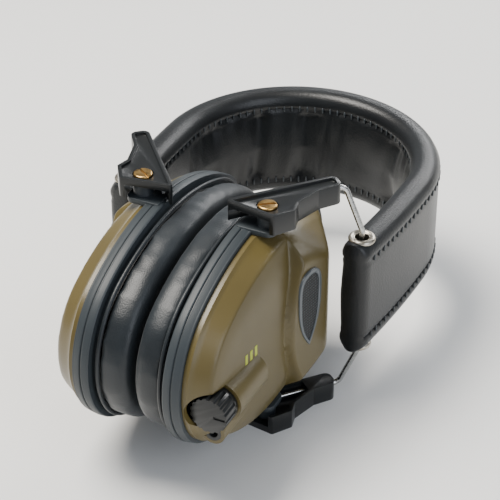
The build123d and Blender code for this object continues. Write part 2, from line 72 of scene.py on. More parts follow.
# ---- where things are, read from the frame ----
plateLow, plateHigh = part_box("left_base_plate")
cushionLow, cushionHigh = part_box("left_ear_cushion")
sleeveLow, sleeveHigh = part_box("left_band_sleeve")
screwLow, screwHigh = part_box("left_pivot_screws")
eyeLow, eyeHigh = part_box("left_band_grommets")
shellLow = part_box("left_cup_shell")[0]
midZ = (plateLow.z + plateHigh.z) / 2          # middle plane of the set
pivotY = (screwLow.y + screwHigh.y) / 2        # height of the pivot screws
plateFace = shellLow.x + 1.6 * mm              # outer face of the base plate, where the shell starts
cupY = (plateLow.y + plateHigh.y) / 2
cupLong = (plateHigh.y - plateLow.y) / 2
cupWide = (cushionHigh.z - cushionLow.z) / 2 + 1.5 * mm


def srgb(hexText):
    parts = [int(hexText[i:i + 2], 16) / 255 for i in (0, 2, 4)]
    lin = [p / 12.92 if p <= 0.04045 else ((p + 0.055) / 1.055) ** 2.4 for p in parts]
    return (*lin, 1.0)


# ---- small helpers ----
def clearSelection():
    if bpy.context.object and bpy.context.object.mode != "OBJECT":
        bpy.ops.object.mode_set(mode="OBJECT")
    bpy.ops.object.select_all(action="DESELECT")


def makeActive(obj):
    clearSelection()
    obj.select_set(True)
    bpy.context.view_layer.objects.active = obj
    return obj


def freeze(obj):                                # the piece's place goes into its mesh
    makeActive(obj)
    bpy.ops.object.transform_apply(location=True, rotation=True, scale=True)
    return obj


def applyModifier(obj, kind, **settings):
    makeActive(obj)
    mod = obj.modifiers.new(kind.title(), kind)
    for key, value in settings.items():
        setattr(mod, key, value)
    bpy.ops.object.modifier_apply(modifier=mod.name)
    return obj


def smooth(obj, angle=35):
    makeActive(obj)
    bpy.ops.object.shade_smooth_by_angle(angle=radians(angle))
    return obj


def cleanUp(obj, distance=0.00001):
    makeActive(obj)
    bpy.ops.object.mode_set(mode="EDIT")
    bpy.ops.mesh.select_all(action="SELECT")
    bpy.ops.mesh.remove_doubles(threshold=distance)
    bpy.ops.mesh.normals_make_consistent(inside=False)
    bpy.ops.object.mode_set(mode="OBJECT")
    return obj


def copyOf(node, name):                         # a CAD node's mesh in a piece of its own
    source = frame["nodes"][node]
    mesh = source.data.copy()
    obj = bpy.data.objects.new(name, mesh)
    bpy.context.scene.collection.objects.link(obj)
    obj.data.materials.clear()
    return obj


def mirrorX(obj, name):                         # the same piece for the other ear, with its own mesh
    twin = obj.copy()
    twin.data = obj.data.copy()
    twin.name = name
    bpy.context.scene.collection.objects.link(twin)
    twin.scale = (-1, 1, 1)
    freeze(twin)
    return cleanUp(twin, 0.000001)


def dress(obj, material, slot, body=None, *nodes):
    obj.data.materials.clear()
    obj.data.materials.append(material)
    if body:
        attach(obj, body)
    if nodes:
        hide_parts(*nodes)
    return obj


# ---- materials ----
def newMaterial(name):
    mat = bpy.data.materials.new(name)
    mat.use_nodes = True
    mat.node_tree.nodes.clear()
    out = mat.node_tree.nodes.new("ShaderNodeOutputMaterial")
    shader = mat.node_tree.nodes.new("ShaderNodeBsdfPrincipled")
    mat.node_tree.links.new(shader.outputs[0], out.inputs[0])
    return mat, shader


def addNode(mat, kind, settings={}, **links):
    # settings go to properties or inputs by name; links name an input and give (node, output)
    tree = mat.node_tree
    node = tree.nodes.new("ShaderNode" + kind)
    for key, value in settings.items():
        if key in node.inputs:
            node.inputs[key].default_value = value
        else:
            setattr(node, key, value)
    for key, (source, output) in links.items():
        socket = node.inputs[int(key[1:])] if key[0] == "i" and key[1:].isdigit() else node.inputs[key]
        tree.links.new(source.outputs[output], socket)
    return node


def feed(mat, shader, socket, node, output=0):
    mat.node_tree.links.new(node.outputs[output], shader.inputs[socket])


def colourRange(mat, factor, low, high, start=0.35, end=0.65):
    ramp = addNode(mat, "ValToRGB", i0=(factor, 0))
    ramp.color_ramp.elements[0].position = start
    ramp.color_ramp.elements[1].position = end
    ramp.color_ramp.elements[0].color = low
    ramp.color_ramp.elements[1].color = high
    return ramp


def moulded(name, base, dark, light, roughness, grain, bump, spec=0.5, coat=0.0):
    # moulded thermoplastic: slow tone drift from the flow, fine spark-eroded grain in the gloss and the bump
    mat, shader = newMaterial(name)
    place = addNode(mat, "TexCoord")
    drift = addNode(mat, "TexNoise", {"Scale": 26.0, "Detail": 3.0, "Roughness": 0.55},
                    Vector=(place, "Object"))
    fine = addNode(mat, "TexNoise", {"Scale": 1000 / grain, "Detail": 2.0}, Vector=(place, "Object"))
    tone = colourRange(mat, drift, srgb(dark), srgb(light), 0.3, 0.7)
    body = addNode(mat, "MixRGB", {"Fac": 0.5, "Color2": srgb(base)}, Color1=(tone, 0))
    feed(mat, shader, "Base Color", body)
    gloss = addNode(mat, "MapRange", {"To Min": roughness - 0.05, "To Max": roughness + 0.07},
                    Value=(fine, 0))
    feed(mat, shader, "Roughness", gloss)
    relief = addNode(mat, "Bump", {"Strength": bump, "Distance": 0.00012}, Height=(fine, 0))
    feed(mat, shader, "Normal", relief)
    shader.inputs["Specular IOR Level"].default_value = spec
    shader.inputs["Coat Weight"].default_value = coat
    shader.inputs["Coat Roughness"].default_value = 0.25
    return mat


def vinylMaterial(name, base, paintedSheenTint, roughness, grain, bump):
    # plasticised vinyl skin: pebbled emboss, low broad sheen, and painted sheen: the colour turns paler
    # towards the sheen tint in drifting patches
    mat, shader = newMaterial(name)
    place = addNode(mat, "TexCoord")
    cells = addNode(mat, "TexVoronoi", {"Scale": 1000 / grain}, Vector=(place, "Object"))
    drift = addNode(mat, "TexNoise", {"Scale": 45.0, "Detail": 4.0}, Vector=(place, "Object"))
    # painted sheen: the drift noise lifts the colour towards the paler tint in patches
    tone = colourRange(mat, drift, srgb(base), srgb(paintedSheenTint), 0.35, 0.8)
    feed(mat, shader, "Base Color", tone)
    gloss = addNode(mat, "MapRange", {"To Min": roughness - 0.06, "To Max": roughness + 0.1},
                    Value=(drift, 0))
    feed(mat, shader, "Roughness", gloss)
    height = addNode(mat, "Math", {"operation": "ADD"}, i0=(cells, 0), i1=(drift, 0))
    relief = addNode(mat, "Bump", {"Strength": bump, "Distance": 0.00015}, Height=(height, 0))
    feed(mat, shader, "Normal", relief)
    shader.inputs["Specular IOR Level"].default_value = 0.38
    shader.inputs["Sheen Weight"].default_value = 0.12
    shader.inputs["Sheen Roughness"].default_value = 0.4
    return mat


def metal(name, base, worn, roughness, streak):
    # bare or plated metal: drawing or turning lines stretch the highlight, worn tone on the high spots
    mat, shader = newMaterial(name)
    place = addNode(mat, "TexCoord")
    line = addNode(mat, "Mapping", {"Scale": streak}, Vector=(place, "Object"))
    fine = addNode(mat, "TexNoise", {"Scale": 500.0, "Detail": 4.0}, Vector=(line, 0))
    tone = colourRange(mat, fine, srgb(worn), srgb(base), 0.3, 0.6)
    feed(mat, shader, "Base Color", tone)
    gloss = addNode(mat, "MapRange", {"To Min": roughness - 0.07, "To Max": roughness + 0.1}, Value=(fine, 0))
    feed(mat, shader, "Roughness", gloss)
    relief = addNode(mat, "Bump", {"Strength": 0.15, "Distance": 0.00005}, Height=(fine, 0))
    feed(mat, shader, "Normal", relief)
    shader.inputs["Metallic"].default_value = 1.0
    return mat


def wovenMaterial(name, base, thread, pitch):
    # fine woven mesh: two crossed sets of threads, pitch apart
    mat, shader = newMaterial(name)
    place = addNode(mat, "TexCoord")
    scale = 2 * pi / (20 * pitch)           # the wave node's bands are 2 pi / 20 wide at scale 1
    alongY = addNode(mat, "TexWave", {"Scale": scale, "bands_direction": "Y"}, Vector=(place, "Object"))
    alongZ = addNode(mat, "TexWave", {"Scale": scale, "bands_direction": "Z"}, Vector=(place, "Object"))
    both = addNode(mat, "Math", {"operation": "MULTIPLY"}, i0=(alongY, 1), i1=(alongZ, 1))
    tone = colourRange(mat, both, srgb(base), srgb(thread), 0.2, 0.8)
    feed(mat, shader, "Base Color", tone)
    relief = addNode(mat, "Bump", {"Strength": 0.9, "Distance": 0.0003}, Height=(both, 0))
    feed(mat, shader, "Normal", relief)
    shader.inputs["Roughness"].default_value = 0.62
    return mat


# moulded ABS in olive: satin, the colour dips towards brown where the flow was slow
oliveAbs = moulded("oliveMouldedAbs", "54492a", "4a4020", "625732", 0.33, 0.35, 0.22, 0.34, 0.05)
# moulded glass-filled nylon: slate grey, dry satin, slightly speckled
slateNylon = moulded("slateMouldedNylon", "2c3236", "272c2f", "353b3f", 0.46, 0.3, 0.25, 0.35)
# moulded acetal of the arms: near black with a soft gloss that draws bright edges
armAcetal = moulded("blackMouldedAcetal", "121415", "0f1011", "181b1c", 0.3, 0.4, 0.06, 0.42)
# moulded ABS inside the cup, plain black
innerAbs = moulded("blackMouldedAbs", "1d1f21", "191a1c", "232527", 0.5, 0.4, 0.3)
# moulded and tumbled bezel, mid grey
bezelAbs = moulded("greyTumbledAbs", "4a5054", "42474b", "565c61", 0.32, 0.35, 0.15, 0.55)
# pad-printed ink, yellow-green, matt
markInk = moulded("limePadInk", "a8b23a", "9ca633", "b4be48", 0.6, 0.2, 0.1)
# calendered vinyl of the cushions: blue-black, smooth pebble, broad sheen, with paler patches of painted
# sheen in the colour
cushionVinyl = vinylMaterial("cushionCalenderedVinyl", "14191d", "1d2429", 0.4, 0.55, 0.25)
# calendered vinyl of the headband sleeve: blacker and shinier, creases catch the light; its paler second
# colour is painted sheen
bandVinyl = vinylMaterial("bandCalenderedVinyl", "0c0e10", "15191b", 0.36, 0.7, 0.35)
# drawn and plated spring steel wire
drawnSteel = metal("drawnPlatedSteel", "c9c9c6", "8f9090", 0.24, (1, 1, 8))
# nickel-plated pressed brass eyelet
pressedNickel = metal("pressedNickelPlate", "c4beb2", "8d8678", 0.3, (1, 1, 1))
# turned brass screw, a little tarnished
turnedBrass = metal("turnedBrass", "b8955c", "7c6238", 0.3, (1, 1, 1))
# woven polyester mesh over the microphone, threads drawn 1.1 mm apart so that they show
micCloth = wovenMaterial("wovenPolyesterMesh", "050606", "3a4045", 0.0011)
# open-cell polyurethane foam, made with the vinyl material, so its paler second colour is painted sheen too
cellFoam = vinylMaterial("openCellFoam", "2b2b2b", "3a3a3a", 0.85, 0.9, 0.9)
# bonded nylon sewing thread
sewingThread = moulded("bondedNylonThread", "33383b", "292d30", "41474b", 0.5, 0.2, 0.4)
# glass-fibre board under green solder mask
boardMask = moulded("solderMaskedGlassFibre", "1e5a2e", "194d27", "246836", 0.35, 0.5, 0.1)
print("materials made")

# ---- cup shell ----
shellSizes = {
    "rimUp": 2.2 * mm,          # straight wall beside the base plate
    "chamfer": 1.0 * mm,
    "flankWidth": 3.0 * mm,     # steep band between the chamfer and the face, its top edge is the ridge
    "flankSlope": 1.9,
    "sideSlope": 0.42,
    "faceHeight": 12.8 * mm,    # lower face over the base plate, ten millimetres below the screws
    "faceSlope": 0.08,
    "podFace": 17.5 * mm,
    "podTilt": 0.14,
    "podSide": 1.2,
    "stepY": -8.5 * mm,
    "stepBow": 8.0 * mm,
    "stepSlope": 3.4,
    "blend": 0.9 * mm,
    "wall": 2.0 * mm,
}
cupHalf = (cupLong - 1.4 * mm, cupWide - 1.4 * mm)
endRadius = cupWide - 6.5 * mm - 1.4 * mm


def insideBy(up, side, half, radius):           # distance inside the cup's outline of four tangent arcs
    reach = half[0] - radius
    bigRadius = (reach ** 2 + half[1] ** 2 - radius ** 2) / (2 * (half[1] - radius))
    turn = math.atan2(reach, bigRadius - half[1])
    up, side = abs(up), abs(side)
    if math.atan2(up - reach, side) > turn:
        return radius - math.hypot(up - reach, side)
    return bigRadius - math.hypot(up, side + bigRadius - half[1])


def edgeReach(angle, half, radius):             # how far the outline lies from the middle, along an angle
    near, far = 0.0, half[0] * 1.2
    for _ in range(30):
        middle = (near + far) / 2
        if insideBy(middle * cos(angle), middle * sin(angle), half, radius) > 0:
            near = middle
        else:
            far = middle
    return near


def softMin(a, b, r):
    h = max(0.0, min(1.0, 0.5 + 0.5 * (b - a) / r))
    return b + (a - b) * h - r * h * (1 - h)


def shellHeight(up, side):                      # up from the screws, side from the middle plane
    s = shellSizes
    depth = max(0.0, insideBy(up + pivotY - cupY, side, cupHalf, endRadius))
    beyond = max(0.0, depth - s["chamfer"])
    flank = s["rimUp"] + min(depth, s["chamfer"]) + s["flankSlope"] * min(beyond, s["flankWidth"])
    slope = softMin(flank + 9 * max(0.0, beyond - s["flankWidth"]),
                    flank + s["sideSlope"] * max(0.0, beyond - s["flankWidth"]), 0.2 * mm)
    face = s["faceHeight"] + s["faceSlope"] * (up + 10 * mm) - 2.2 * side ** 2
    lower = softMin(face, slope, 2.2 * s["blend"])
    top = s["podFace"] + s["podTilt"] * (up - 5 * mm) - 1.2 * side ** 2
    pod = softMin(top, flank + s["podSide"] * max(0.0, beyond - s["flankWidth"]), 2.6 * s["blend"])
    pod = softMin(pod, 19.2 * mm - 0.66 * (up - 17 * mm), 3 * s["blend"])
    step = s["stepY"] + s["stepBow"] * (side / (25 * mm)) ** 2
    pod = softMin(pod, 6 * mm + s["stepSlope"] * (up - step), s["blend"])
    upper = softMin(12.0 * mm - 0.25 * up, slope, 2 * s["blend"])
    lower = softMin(lower, upper, s["blend"])
    return max(lower, pod, -softMin(-lower, -pod, 0.5 * s["blend"]))


def buildSkin():
    # two height fields over the same outline, the inner one set in and down by the wall, joined at the rim
    rows, columns, verts, faces = 104, 150, [], []

    def field(inset, drop):
        half, radius, reachOf = (cupHalf[0] - inset, cupHalf[1] - inset), endRadius - inset, {}
        for i in range(rows + 1):
            for j in range(columns + 1):
                u, w = 2 * j / columns - 1, 2 * i / rows - 1
                across, along = w * math.sqrt(1 - u * u / 2), u * math.sqrt(1 - w * w / 2)
                rho, angle = min(1.0, math.hypot(across, along)), math.atan2(across, along)
                key = round(angle, 4)
                if key not in reachOf:
                    reachOf[key] = edgeReach(angle, half, radius)
                up, side = rho * reachOf[key] * cos(angle) + cupY - pivotY, rho * reachOf[key] * sin(angle)
                verts.append((plateFace + shellHeight(up, side) - drop, pivotY + up, midZ + side))
    size = (rows + 1) * (columns + 1)
    field(0, 0)
    field(shellSizes["wall"], 1.25 * shellSizes["wall"])
    for base in (0, size):
        for i in range(rows):
            for j in range(columns):
                a = base + i * (columns + 1) + j
                faces.append((a, a + 1, a + columns + 2, a + columns + 1))
    rim = [j for j in range(columns + 1)] + [i * (columns + 1) + columns for i in range(1, rows + 1)]
    rim += [rows * (columns + 1) + j for j in range(columns - 1, -1, -1)]
    rim += [i * (columns + 1) for i in range(rows - 1, 0, -1)]
    for base in (0, size):
        for k in rim:
            verts.append((plateFace + 0.1 * mm, verts[base + k][1], verts[base + k][2]))
    foot, n = 2 * size, len(rim)
    for k in range(n):
        m = (k + 1) % n
        faces.append((rim[k], rim[m], foot + m, foot + k))
        faces.append((size + rim[k], size + rim[m], foot + n + m, foot + n + k))
        faces.append((foot + k, foot + m, foot + n + m, foot + n + k))
    mesh = bpy.data.meshes.new("leftCupSkin")
    mesh.from_pydata(verts, [], faces)
    skin = bpy.data.objects.new("leftCupSkin", mesh)
    bpy.context.scene.collection.objects.link(skin)
    return cleanUp(skin, 0.000001)


def cutWith(obj, cutter, operation="DIFFERENCE"):
    makeActive(obj)
    mod = obj.modifiers.new("Cut", "BOOLEAN")
    mod.object, mod.operation, mod.solver = cutter, operation, "EXACT"
    bpy.ops.object.modifier_apply(modifier=mod.name)
    bpy.data.objects.remove(cutter, do_unlink=True)
    return obj


def cylinderAlongY(x, z, radius, low, high):
    clearSelection()
    bpy.ops.mesh.primitive_cylinder_add(vertices=48, radius=radius, depth=high - low,
                                        location=(x, (low + high) / 2, z), rotation=(radians(90), 0, 0))
    return freeze(bpy.context.object)


def micCutter(side):
    cutter = copyOf(side + "_mic_mesh", "micCutter")
    cleanUp(cutter)
    bpy.ops.object.mode_set(mode="EDIT")
    bpy.ops.mesh.select_all(action="SELECT")
    bpy.ops.transform.shrink_fatten(value=0.7 * mm)
    bpy.ops.object.mode_set(mode="OBJECT")
    return cutter


def buildShells():
    skin = buildSkin()
    twin = mirrorX(skin, "rightCupSkin")
    print("skins shaped")
    knobLow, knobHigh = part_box("volume_knob")
    jackLow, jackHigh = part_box("input_jack")
    kx, kz = (knobLow.x + knobHigh.x) / 2, (knobLow.z + knobHigh.z) / 2
    kr = (knobHigh.x - knobLow.x) / 2 + 1.0 * mm                # seat round the knob
    jx, jz, jr = (jackLow.x + jackHigh.x) / 2, (jackLow.z + jackHigh.z) / 2, (jackHigh.x - jackLow.x) / 2
    top = pivotY - 24 * mm
    seat = knobHigh.y + 0.3 * mm
    cutWith(skin, cylinderAlongY(kx, kz, kr, seat, top), "UNION")
    cutWith(skin, cylinderAlongY(jx, jz, jr + 1.25 * mm, jackLow.y, top), "UNION")
    cutWith(skin, cylinderAlongY(kx, kz, kr, knobLow.y - 9 * mm, seat))
    cutWith(skin, cylinderAlongY(kx, kz, 3.1 * mm, seat - mm, seat + 4 * mm))
    cutWith(skin, cylinderAlongY(jx, jz, jr + 0.02 * mm, jackLow.y - mm, jackHigh.y + mm))
    cutWith(skin, micCutter("left"))
    smooth(skin, 32)
    dress(skin, oliveAbs, "olive_plastic", "left_cup", "left_cup_shell")
    doorLow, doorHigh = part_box("battery_door")
    half = (doorHigh.z - doorLow.z) / 2
    pinLow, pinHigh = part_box("door_hinge_pin")
    low, high = doorLow.y + 1.6 * mm, doorHigh.y

    def block(gap):
        clearSelection()
        bpy.ops.mesh.primitive_cube_add(size=1, location=(doorLow.x, (low + high) / 2, midZ),
                                        scale=(24 * mm, high - low + 2 * gap, 2 * half + 2 * gap))
        return freeze(bpy.context.object)
    door = twin.copy()
    door.data = twin.data.copy()
    door.name = "batteryDoor"
    bpy.context.scene.collection.objects.link(door)
    px, py = (pinLow.x + pinHigh.x) / 2, (pinLow.y + pinHigh.y) / 2
    knuckle, sideLength, gap = 1.6 * mm, 5 * mm, 0.3 * mm

    def barrel(radius, length, off=0.0):
        clearSelection()
        bpy.ops.mesh.primitive_cylinder_add(vertices=48, radius=radius, depth=length,
                                            location=(px, py, midZ + off))
        return freeze(bpy.context.object)
    cutWith(door, block(0), "INTERSECT")
    cutWith(twin, block(gap))
    cutWith(twin, barrel(knuckle + gap, 2 * sideLength + 2 * gap))
    for end in (-1, 1):
        place = end * (1.5 * sideLength + gap)
        cutWith(door, barrel(knuckle + gap, sideLength + 2 * gap, place))
        cutWith(twin, barrel(knuckle, sideLength, place), "UNION")
    cutWith(door, barrel(knuckle, 2 * sideLength), "UNION")
    cutWith(twin, micCutter("right"))
    smooth(twin, 32)
    applyModifier(door, "BEVEL", width=0.2 * mm, segments=2, limit_method="ANGLE", angle_limit=radians(50))
    smooth(door, 32)
    dress(twin, oliveAbs, "olive_plastic", "right_cup", "right_cup_shell")
    dress(door, oliveAbs, "olive_plastic", "door", "battery_door")
    print("cup shells built")


# ---- moulded and metal pieces taken over from the frame ----
def refine(node, name, material, slot, width=0.18 * mm, angle=30):
    # the frame's shape with its edges broken, so that they catch the light
    obj = cleanUp(copyOf(node, name))
    bpy.ops.object.mode_set(mode="EDIT")
    bpy.ops.mesh.select_all(action="SELECT")
    bpy.ops.mesh.dissolve_limited(angle_limit=radians(0.6))
    bpy.ops.object.mode_set(mode="OBJECT")
    if width:
        applyModifier(obj, "BEVEL", width=width, segments=2, limit_method="ANGLE", angle_limit=radians(angle),
                      use_clamp_overlap=True)
    smooth(obj, 40)
    return dress(obj, material, slot, bodyOf[node], node)


bodyOf = {node: body for body, nodes in frame["record"]["behaviour"]["bodies"].items() for node in nodes}


def refineFrame():
    for side in sides:
        refine(side + "_front_arm", side + "FrontArm", armAcetal, "arm_plastic")
        refine(side + "_rear_arm", side + "RearArm", armAcetal, "arm_plastic")
        refine(side + "_base_plate", side + "BasePlate", slateNylon, "grey_plastic", 0.3 * mm)
        refine(side + "_pivot_screws", side + "PivotScrews", turnedBrass, "brass", 0.08 * mm)
        refine(side + "_band_grommets", side + "Eyelets", pressedNickel, "nickel", 0)
        refine(side + "_bail_wire", side + "BailWire", drawnSteel, "steel_wire", 0)
        refine(side + "_mic_bezel", side + "MicBezel", bezelAbs, "bezel_plastic", 0.2 * mm)
    refine("volume_knob", "volumeKnob", armAcetal, "arm_plastic", 0.12 * mm)
    refine("input_jack", "inputJack", innerAbs, "black_plastic", 0.1 * mm)
    for node, obj in frame["nodes"].items():
        plain = innerAbs
        if "mic_mesh" in node:
            plain = micCloth
        elif "foam" in node:
            plain = cellFoam
        elif "circuit" in node:
            plain = boardMask
        elif "screws" in node or "pin" in node or "spring" in node or "contacts" in node:
            plain = drawnSteel
        elif "cells" in node or node.endswith("microphone"):
            plain = pressedNickel
        obj.data.materials.clear()
        obj.data.materials.append(plain)
    print("frame pieces dressed")


# ---- ring of the base plate, swept round the cup ----
ringSizes = {
    "profile": ((-0.1, -2.2), (-0.1, 0.15), (0.2, 0.4), (0.5, 0.5), (2.3, 0.55), (2.6, 0.4), (2.75, 0.02),
                (3.05, 0.02), (3.2, 0.3), (3.5, 0.4), (5.2, 0.1), (5.6, -0.1), (5.85, -0.5), (5.95, -1.1),
                (6.0, -2.2)),             # along the cup's axis, and past the plate's edge, mm
    "steps": 320,
    "humpHalf": 0.5,                      # half of the raised stretch at the top, radians
    "humpRise": 1.5 * mm,
}


def sweepRound(name, profile, half, radius, steps, rise=0.0):
    # closed loop of (x, offset) pairs carried round the cup's outline, with an optional raised stretch on top
    verts, faces, count = [], [], len(profile)
    for i in range(steps):
        angle = 2 * pi * i / steps
        away = min(angle, 2 * pi - angle) / ringSizes["humpHalf"]
        lift = rise * max(0.0, min(1.0, 3.2 * (1 - away)))
        for x, offset in profile:
            grown = offset + (lift if offset > -0.0015 else 0.0)
            far = edgeReach(angle, (half[0] + grown, half[1] + grown), radius + grown)
            verts.append((x, cupY + far * cos(angle), midZ + far * sin(angle)))
    for i in range(steps):
        for j in range(count):
            a, b = i * count + j, i * count + (j + 1) % count
            c, d = ((i + 1) % steps) * count + (j + 1) % count, ((i + 1) % steps) * count + j
            faces.append((a, b, c, d))
    mesh = bpy.data.meshes.new(name)
    mesh.from_pydata(verts, [], faces)
    obj = bpy.data.objects.new(name, mesh)
    bpy.context.scene.collection.objects.link(obj)
    return cleanUp(obj, 0.000001)


def buildRings():
    profile = [(plateLow.x + x * mm, d * mm) for x, d in ringSizes["profile"]]
    ring = sweepRound("leftRing", profile, (cupLong, cupWide), cupWide - 6.5 * mm, ringSizes["steps"],
                      ringSizes["humpRise"])
    smooth(ring, 28)
    twin = mirrorX(ring, "rightRing")
    smooth(twin, 28)
    dress(ring, slateNylon, "grey_plastic", "left_cup")
    dress(twin, slateNylon, "grey_plastic", "right_cup")
    print("rings swept")


# ---- ear cushions ----
cushionSizes = {
    "shrink": 0.5 * mm,
    "voxel": 2.2 * mm,
    "pressure": 4.0,
    "frames": 20,
    "cap": 1.1 * mm,
    "restGap": 0.3 * mm,        # the two faces rest on each other here, from the middle plane
    "crease": 0.16 * mm,
    "weltRadius": 0.7 * mm,
}


def buildCushions():
    s = cushionSizes
    pad = cleanUp(copyOf("left_ear_cushion", "leftEarCushion"))
    bpy.ops.object.mode_set(mode="EDIT")
    bpy.ops.mesh.select_all(action="SELECT")
    bpy.ops.transform.shrink_fatten(value=-s["shrink"])
    bpy.ops.object.mode_set(mode="OBJECT")
    applyModifier(pad, "REMESH", mode="VOXEL", voxel_size=s["voxel"], use_smooth_shade=True)
    start = [v.co.copy() for v in pad.data.vertices]
    makeActive(pad)
    mod = pad.modifiers.new("Cloth", "CLOTH")
    mod.settings.use_pressure = True
    mod.settings.uniform_pressure_force = s["pressure"]
    mod.settings.effector_weights.gravity = 0
    mod.settings.quality = 6
    for f in range(1, s["frames"] + 1):
        bpy.context.scene.frame_set(f)
    bpy.ops.object.modifier_apply(modifier=mod.name)
    bpy.context.scene.frame_set(1)
    for v, was in zip(pad.data.vertices, start):
        move = v.co - was
        if move.length > s["cap"]:
            v.co = was + move * (s["cap"] / move.length)
        v.co.x = max(v.co.x, s["restGap"] + 0.05 * mm)
        v.co.x = min(v.co.x, cushionHigh.x)
    applyModifier(pad, "SMOOTH", factor=0.5, iterations=4)
    applyModifier(pad, "SUBSURF", levels=1, render_levels=1)
    centre = Vector((0, cupY, midZ))
    for v in pad.data.vertices:                 # shallow gathers that run across the roll
        angle = math.atan2(v.co.z - centre.z, v.co.y - centre.y)
        wave = sin(23 * angle + 2 * sin(5 * angle)) * sin(9 * angle + 1.3)
        out = Vector((0, v.co.y - centre.y, v.co.z - centre.z)).normalized()
        near = (v.co.x - cushionLow.x) / (cushionHigh.x - cushionLow.x)
        v.co += out * (s["crease"] * wave * (0.3 + max(0.0, near)))
    smooth(pad, 60)
    weltX = cushionHigh.x - 0.5 * mm
    ringOf = [(weltX + s["weltRadius"] * cos(a), s["weltRadius"] * sin(a) - 0.6 * mm)
              for a in (2 * pi * k / 12 for k in range(12))]
    wide = (cushionHigh.z - cushionLow.z) / 2
    long = (cushionHigh.y - cushionLow.y) / 2
    welt = sweepRound("leftCushionWelt", ringOf, (long, wide), wide - 5 * mm, 260)
    smooth(welt, 60)
    for obj, name in ((pad, "rightEarCushion"), (welt, "rightCushionWelt")):
        twin = mirrorX(obj, name)
        smooth(twin, 60)
        dress(twin, cushionVinyl, "cushion_vinyl", "right_cup")
        if obj is pad:
            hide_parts("right_ear_cushion")
    dress(pad, cushionVinyl, "cushion_vinyl", "left_cup", "left_ear_cushion")
    dress(welt, cushionVinyl, "cushion_vinyl", "left_cup")
    print("cushions swollen")


# ---- headband cover ----
bandSizes = {
    "thickness": 10.4 * mm,
    "corner": 4.4,                        # of the section, mm
    "bulge": 2.5 * mm,
    "binding": 6.4 * mm,                  # stitched rim along both edges
    "groove": 0.6 * mm,
    "pucker": 2.2 * mm,
    "crease": 0.5 * mm,
    "stitchPitch": 3.3 * mm,
    "stitchLength": 2.4 * mm,
    "stitchRadius": 0.36 * mm,
    "eyeHole": 3.0 * mm,
    "around": 96,
    "along": 300,
}
bandRadius = sleeveHigh.x - bandSizes["thickness"] / 2
archY = sleeveHigh.y - sleeveHigh.x       # height of the arch's centre
bandHalf = (sleeveHigh.z - sleeveLow.z) / 2
hingeY = (eyeLow.y + eyeHigh.y) / 2
hingeX = (eyeLow.x + eyeHigh.x) / 2
legDrop = archY - hingeY
legRadius = (legDrop ** 2 + bandSizes["bulge"] ** 2) / (2 * bandSizes["bulge"])
legTurn = math.asin((archY - sleeveLow.y) / legRadius)
legLength = legRadius * legTurn
bandLength = 2 * legLength + pi * bandRadius


def bandPoint(s):                         # middle line: place and outward direction, s from the left end
    if s < legLength:
        turn = legTurn - s / legRadius
        out = Vector((cos(turn), -sin(turn), 0))
        return Vector((bandRadius - legRadius, archY, midZ)) + out * legRadius, out
    if s > bandLength - legLength:
        place, out = bandPoint(bandLength - s)
        return Vector((-place.x, place.y, place.z)), Vector((-out.x, out.y, 0))
    turn = (s - legLength) / bandRadius
    out = Vector((cos(turn), sin(turn), 0))
    return Vector((0, archY, midZ)) + out * bandRadius, out


def sectionPoint(t):                      # round the section: across the band, and through its thickness
    half, deep, r = bandHalf, bandSizes["thickness"] / 2, bandSizes["corner"] * mm
    straightW, straightH = 2 * (half - r), 2 * (deep - r)
    lengths = (straightW, r * pi / 2, straightH, r * pi / 2) * 2
    walk = t * sum(lengths)
    corners = ((half - r, deep - r, 90), (half - r, -(deep - r), 0), (-(half - r), -(deep - r), -90),
               (-(half - r), deep - r, 180))
    starts = (Vector((-(half - r), deep)), Vector((half, deep - r)), Vector((half - r, -deep)),
              Vector((-half, -(deep - r))))
    runs = (Vector((1, 0)), Vector((0, -1)), Vector((-1, 0)), Vector((0, 1)))
    for i in range(4):
        if walk <= lengths[2 * i]:
            return starts[i] + runs[i] * walk, Vector((-runs[i].y, runs[i].x))
        walk -= lengths[2 * i]
        if walk <= lengths[2 * i + 1]:
            cx, cy, first = corners[i]
            a = radians(first) - walk / r
            normal = Vector((cos(a), sin(a)))
            return Vector((cx, cy)) + normal * r, normal
        walk -= lengths[2 * i + 1]
    return starts[0], Vector((0, 1))


def puckerDepth(s, across):               # how far the padded inner face sinks where the vinyl is drawn up
    inner = max(0.0, 1 - abs(across) / (bandHalf - bandSizes["binding"]))
    if inner <= 0:
        return 0.0
    u = s / bandLength * 2 * pi
    folds = 0.5 + 0.5 * sin(8 * u + 1.6 * sin(3 * u + 0.6) + 0.6 * across / bandHalf)
    pinch = folds ** 3
    fine = 0.5 + 0.5 * sin(26 * u + 3 * sin(5 * u + 2) + 2.0 * across / bandHalf)
    edge = 1 - inner ** 1.5
    pillow = 1.9 * mm * (1 - (1 - inner) ** 2.5)
    drawn = bandSizes["pucker"] * pinch * (0.35 + 0.65 * edge) * min(1, 5 * inner)
    return pillow - drawn - bandSizes["crease"] * fine * edge * min(1, 6 * inner)


def bandSurface(s, t):
    place, out = bandPoint(s)
    w, normal = sectionPoint(t)
    across, deep = w
    lift = 0.0
    line = bandHalf - bandSizes["binding"]
    flat = abs(normal.y) > 0.98
    if flat:
        away = abs(abs(across) - line)
        if away < 0.9 * mm:
            lift -= bandSizes["groove"] * (1 + cos(pi * away / (0.9 * mm))) / 2
        if abs(across) > line:
            lift += 0.2 * mm * min(1.0, away / (1.2 * mm))
        if deep < 0:
            legFade = 0.3 if s < legLength * 0.95 or s > bandLength - legLength * 0.95 else 1.0
            lift += puckerDepth(s, across) * legFade
    ends = min(s, bandLength - s)
    close = 1.0
    if ends < 4 * mm:                     # the ends are rounded off like a sewn pocket
        close = math.sqrt(max(0.0, 1 - (1 - ends / (4 * mm)) ** 2)) * 0.45 + 0.55
    return place + out * (deep + normal.y * lift) * close + Vector((0, 0, across + normal.x * lift))


